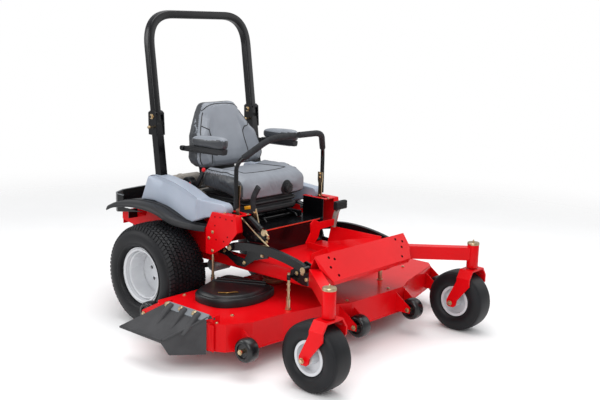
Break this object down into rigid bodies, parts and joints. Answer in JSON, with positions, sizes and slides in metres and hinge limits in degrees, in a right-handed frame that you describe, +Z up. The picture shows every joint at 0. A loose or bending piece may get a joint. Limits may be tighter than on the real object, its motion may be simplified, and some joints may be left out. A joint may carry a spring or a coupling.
{
  "type": "zero turn mower",
  "caption": "Ride-on mower with twin steering levers, large rear drive wheels, front caster wheels, a wide mid-mounted cutting deck with side discharge, and a folding roll bar.",
  "frame": {"origin": "on the ground, at the centre of the machine's bounding box seen from above", "axes": "+Z up, +X towards the driver's left, +Y towards the rear; the machine faces -Y"},
  "size_m": [2.022, 2.1679, 1.8346],
  "materials": {
    "red_paint": "gloss",
    "black_paint": "satin",
    "white_paint": "gloss",
    "tyre": "matt",
    "grey_plastic": "satin",
    "black_plastic": "matt",
    "dark_grey_plastic": "matt",
    "grey_vinyl": "satin",
    "steel": "bare",
    "cast_grey": "matt",
    "black_rubber": "matt"
  },
  "bodies": {
    "chassis": {"belt_covers": "black_plastic", "caster_arm_left": "red_paint", "caster_arm_right": "red_paint", "console_panel": "black_plastic", "cross_members": "red_paint", "deck_linkage": "black_paint", "deck_shell": "red_paint", "engine": "cast_grey", "engine_plate": "black_paint", "fender_trims": "black_plastic", "floor_pan": "red_paint", "frame_rails": "red_paint", "front_beam": "red_paint", "height_plate": "black_paint", "lift_pedal": "red_paint", "parking_brake": "black_paint", "rear_guard": "black_paint", "rops_posts": "black_paint", "seat_back": "grey_vinyl", "seat_base": "black_plastic", "seat_cushion": "grey_vinyl", "side_consoles": "red_paint", "side_cover_left": "grey_plastic", "side_cover_right": "grey_plastic", "side_walls": "red_paint", "wheel_motors": "cast_grey"},
    "drive_wheel_right": {"drive_rim_right": "white_paint", "drive_tyre_right": "tyre"},
    "caster_fork_right": {"caster_fork_right": "red_paint"},
    "caster_wheel_right": {"caster_rim_right": "white_paint", "caster_tyre_right": "tyre"},
    "armrest_right": {"armrest_right": "grey_vinyl"},
    "control_lever_right": {"control_lever_right": "black_paint"},
    "drive_wheel_left": {"drive_rim_left": "white_paint", "drive_tyre_left": "tyre"},
    "caster_fork_left": {"caster_fork_left": "red_paint"},
    "caster_wheel_left": {"caster_rim_left": "white_paint", "caster_tyre_left": "tyre"},
    "armrest_left": {"armrest_left": "grey_vinyl"},
    "control_lever_left": {"control_lever_left": "black_paint"},
    "rops_hoop": {"rops_hoop": "black_paint"},
    "deflector": {"deflector": "dark_grey_plastic"},
    "blade_right": {"blade_right": "steel"},
    "blade_middle": {"blade_middle": "steel"},
    "blade_left": {"blade_left": "steel"},
    "roller_front_right": {"roller_front_right": "black_rubber"},
    "roller_middle_right": {"roller_middle_right": "black_rubber"},
    "roller_middle_left": {"roller_middle_left": "black_rubber"},
    "roller_front_left": {"roller_front_left": "black_rubber"},
    "roller_rear_right": {"roller_rear_right": "black_rubber"},
    "roller_rear_left": {"roller_rear_left": "black_rubber"}
  },
  "joints": [
    {"name": "drive_wheel_spin_right", "type": "hinge", "parent": "chassis", "child": "drive_wheel_right", "pos_m": [-0.501, 0.444, 0.305], "axis": [1, 0, 0], "continuous": true},
    {"name": "caster_swivel_right", "type": "hinge", "parent": "chassis", "child": "caster_fork_right", "pos_m": [-0.618, -0.975, 0.45], "axis": [0, 0, 1], "continuous": true},
    {"name": "caster_wheel_spin_right", "type": "hinge", "parent": "caster_fork_right", "child": "caster_wheel_right", "pos_m": [-0.618, -0.904, 0.18], "axis": [1, 0, 0], "continuous": true},
    {"name": "armrest_fold_right", "type": "hinge", "parent": "chassis", "child": "armrest_right", "pos_m": [-0.263, 0.472, 1.026], "axis": [-1, 0, 0], "range_deg": [0, 75]},
    {"name": "lever_swing_right", "type": "hinge", "parent": "chassis", "child": "control_lever_right", "pos_m": [-0.333, -0.044, 0.69], "axis": [1, 0, 0], "range_deg": [-12, 12]},
    {"name": "drive_wheel_spin_left", "type": "hinge", "parent": "chassis", "child": "drive_wheel_left", "pos_m": [0.583, 0.444, 0.305], "axis": [1, 0, 0], "continuous": true},
    {"name": "caster_swivel_left", "type": "hinge", "parent": "chassis", "child": "caster_fork_left", "pos_m": [0.7, -0.975, 0.45], "axis": [0, 0, 1], "continuous": true},
    {"name": "caster_wheel_spin_left", "type": "hinge", "parent": "caster_fork_left", "child": "caster_wheel_left", "pos_m": [0.7, -0.904, 0.18], "axis": [1, 0, 0], "continuous": true},
    {"name": "armrest_fold_left", "type": "hinge", "parent": "chassis", "child": "armrest_left", "pos_m": [0.345, 0.472, 1.026], "axis": [-1, 0, 0], "range_deg": [0, 75]},
    {"name": "lever_swing_left", "type": "hinge", "parent": "chassis", "child": "control_lever_left", "pos_m": [0.415, -0.044, 0.69], "axis": [1, 0, 0], "range_deg": [-12, 12]},
    {"name": "rops_fold", "type": "hinge", "parent": "chassis", "child": "rops_hoop", "pos_m": [0.445, 0.611, 1.208], "axis": [-1, 0, 0], "range_deg": [0, 112]},
    {"name": "deflector_lift", "type": "hinge", "parent": "chassis", "child": "deflector", "pos_m": [-0.815, -0.194, 0.288], "axis": [0, 1, 0], "range_deg": [0, 80]},
    {"name": "blade_spin_right", "type": "hinge", "parent": "chassis", "child": "blade_right", "pos_m": [-0.511, -0.199, 0.262], "axis": [0, 0, 1], "continuous": true},
    {"name": "blade_spin_middle", "type": "hinge", "parent": "chassis", "child": "blade_middle", "pos_m": [0.091, -0.346, 0.262], "axis": [0, 0, 1], "continuous": true},
    {"name": "blade_spin_left", "type": "hinge", "parent": "chassis", "child": "blade_left", "pos_m": [0.693, -0.199, 0.262], "axis": [0, 0, 1], "continuous": true},
    {"name": "roller_spin_front_right", "type": "hinge", "parent": "chassis", "child": "roller_front_right", "pos_m": [-0.751, -0.558, 0.15], "axis": [1, 0, 0], "continuous": true},
    {"name": "roller_spin_middle_right", "type": "hinge", "parent": "chassis", "child": "roller_middle_right", "pos_m": [-0.047, -0.728, 0.15], "axis": [1, 0, 0], "continuous": true},
    {"name": "roller_spin_middle_left", "type": "hinge", "parent": "chassis", "child": "roller_middle_left", "pos_m": [0.421, -0.756, 0.15], "axis": [1, 0, 0], "continuous": true},
    {"name": "roller_spin_front_left", "type": "hinge", "parent": "chassis", "child": "roller_front_left", "pos_m": [0.941, -0.602, 0.15], "axis": [1, 0, 0], "continuous": true},
    {"name": "roller_spin_rear_right", "type": "hinge", "parent": "chassis", "child": "roller_rear_right", "pos_m": [-0.707, 0.254, 0.15], "axis": [1, 0, 0], "continuous": true},
    {"name": "roller_spin_rear_left", "type": "hinge", "parent": "chassis", "child": "roller_rear_left", "pos_m": [0.841, 0.254, 0.15], "axis": [1, 0, 0], "continuous": true}
  ]
}
